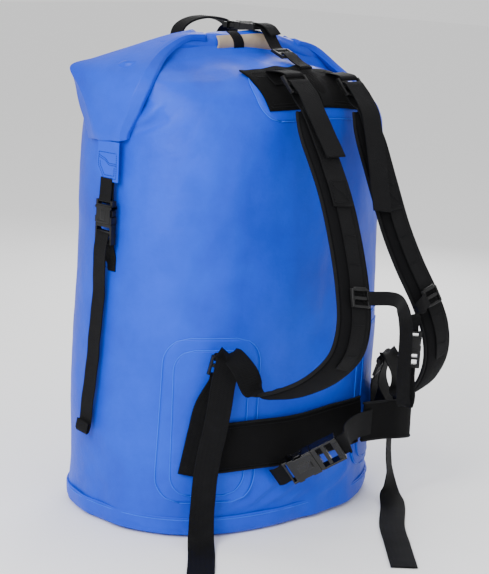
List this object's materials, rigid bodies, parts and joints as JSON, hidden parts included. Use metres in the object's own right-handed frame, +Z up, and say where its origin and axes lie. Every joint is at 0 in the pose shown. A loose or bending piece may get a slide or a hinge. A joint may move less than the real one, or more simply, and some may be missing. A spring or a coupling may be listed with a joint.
{
  "type": "roll-top dry bag backpack",
  "caption": "Large waterproof roll-top dry bag that stands on its own, with a backpack harness, side and top buckles that hold the roll down, a haul handle, a chest strap and a hip belt.",
  "frame": {"origin": "centre of the base where it stands on the ground", "axes": "+Z up towards the rolled mouth, -Y towards the harness (the way the wearer faces), +X towards the wearer's left"},
  "size_m": [0.5596, 0.5984, 0.7197],
  "materials": {
    "blue_fabric": "polyurethane-coated woven nylon, satin, welded seams",
    "black_webbing": "woven nylon webbing",
    "black_pad": "woven pack cloth over foam, bound edges",
    "black_plastic": "moulded acetal, smooth satin",
    "tan_strip": "flexible plastic strip, satin"
  },
  "bodies": {
    "bag": {"front_panel": "blue_fabric", "back_panel": "blue_fabric", "bottom_panel": "blue_fabric", "mouth_collar": "blue_fabric", "upper_harness_patch": "blue_fabric", "right_lower_patch": "blue_fabric", "left_lower_patch": "blue_fabric", "shoulder_yoke": "black_webbing", "right_handle_anchor": "black_webbing", "left_handle_anchor": "black_webbing", "top_rear_strap": "black_webbing", "centre_strap": "black_webbing", "right_side_anchor": "black_webbing", "left_side_anchor": "black_webbing", "right_lower_lock": "black_plastic", "left_lower_lock": "black_plastic", "right_lower_webbing": "black_webbing", "left_lower_webbing": "black_webbing", "right_adjuster_tail": "black_webbing", "left_adjuster_tail": "black_webbing", "right_lower_anchor": "black_webbing", "left_lower_anchor": "black_webbing", "right_hip_wing": "black_webbing", "left_hip_wing": "black_webbing", "hip_socket": "black_plastic", "hip_strap": "black_webbing", "hip_socket_webbing": "black_webbing"},
    "closure": {"roll_top": "blue_fabric", "closure_stiffener": "tan_strip", "top_plug": "black_plastic", "top_strap": "black_webbing", "top_ladder_lock": "black_plastic", "right_roll_end": "blue_fabric", "right_closure_tab": "blue_fabric", "right_tab_webbing": "black_webbing", "right_side_socket": "black_plastic", "left_roll_end": "blue_fabric", "left_closure_tab": "blue_fabric", "left_tab_webbing": "black_webbing", "left_side_socket": "black_plastic"},
    "top_socket": {"top_socket": "black_plastic"},
    "haul_handle": {"haul_handle": "black_webbing"},
    "right_side_plug": {"right_side_plug": "black_plastic"},
    "right_side_tail": {"right_side_tail": "black_webbing"},
    "right_strap": {"right_upper_lock": "black_plastic", "right_shoulder_pad": "black_pad", "right_upper_webbing": "black_webbing"},
    "left_side_plug": {"left_side_plug": "black_plastic"},
    "left_side_tail": {"left_side_tail": "black_webbing"},
    "left_strap": {"left_upper_lock": "black_plastic", "left_shoulder_pad": "black_pad", "left_upper_webbing": "black_webbing"},
    "chest_strap": {"right_chest_slider": "black_plastic", "left_chest_slider": "black_plastic", "left_chest_webbing": "black_webbing", "right_chest_webbing": "black_webbing", "chest_socket": "black_plastic"},
    "chest_plug": {"chest_plug": "black_plastic"},
    "hip_plug": {"hip_plug": "black_plastic"}
  },
  "joints": [
    {"name": "roll_lift", "type": "slide", "parent": "bag", "child": "closure", "axis": [0, 0, 1], "range_m": [0, 0.12], "deforming": ["mouth_collar", "top_rear_strap", "centre_strap"]},
    {"name": "top_buckle_release", "type": "slide", "parent": "closure", "child": "top_socket", "axis": [0, 1, 0], "range_m": [0, 0.026], "deforming": ["top_rear_strap"]},
    {"name": "haul_handle_fold", "type": "hinge", "parent": "bag", "child": "haul_handle", "pos_m": [0.012, 0.085, 0.678], "axis": [-1, 0, 0], "range_deg": [0, 95]},
    {"name": "right_side_buckle_release", "type": "slide", "parent": "bag", "child": "right_side_plug", "axis": [0, 0, -1], "range_m": [0, 0.028]},
    {"name": "right_side_tail_swing", "type": "hinge", "parent": "right_side_plug", "child": "right_side_tail", "pos_m": [-0.263, -0.004, 0.426], "axis": [0, 1, 0], "range_deg": [0, 80]},
    {"name": "left_side_buckle_release", "type": "slide", "parent": "bag", "child": "left_side_plug", "axis": [0, 0, -1], "range_m": [0, 0.028]},
    {"name": "left_side_tail_swing", "type": "hinge", "parent": "left_side_plug", "child": "left_side_tail", "pos_m": [0.263, -0.004, 0.426], "axis": [0, -1, 0], "range_deg": [0, 80]},
    {"name": "right_strap_swing", "type": "hinge", "parent": "bag", "child": "right_strap", "pos_m": [-0.052, -0.152, 0.64], "axis": [-1, 0, 0], "range_deg": [0, 25], "deforming": ["right_lower_webbing"]},
    {"name": "left_strap_swing", "type": "hinge", "parent": "bag", "child": "left_strap", "pos_m": [0.07, -0.152, 0.64], "axis": [-1, 0, 0], "range_deg": [0, 25], "deforming": ["left_lower_webbing"]},
    {"name": "chest_strap_slide", "type": "slide", "parent": "right_strap", "child": "chest_strap", "axis": [0, 0.3818, 0.9243], "range_m": [-0.012, 0.012]},
    {"name": "chest_buckle_release", "type": "slide", "parent": "chest_strap", "child": "chest_plug", "axis": [-0.03, 0, -0.9996], "range_m": [0, 0.022], "deforming": ["right_chest_webbing"]},
    {"name": "hip_buckle_release", "type": "slide", "parent": "bag", "child": "hip_plug", "axis": [0.5752, -0.6368, 0.5135], "range_m": [0, 0.04], "deforming": ["hip_strap"]}
  ],
  "couplings": [
    {"joint": "left_strap_swing", "follows": "right_strap_swing", "ratio": 1}
  ]
}
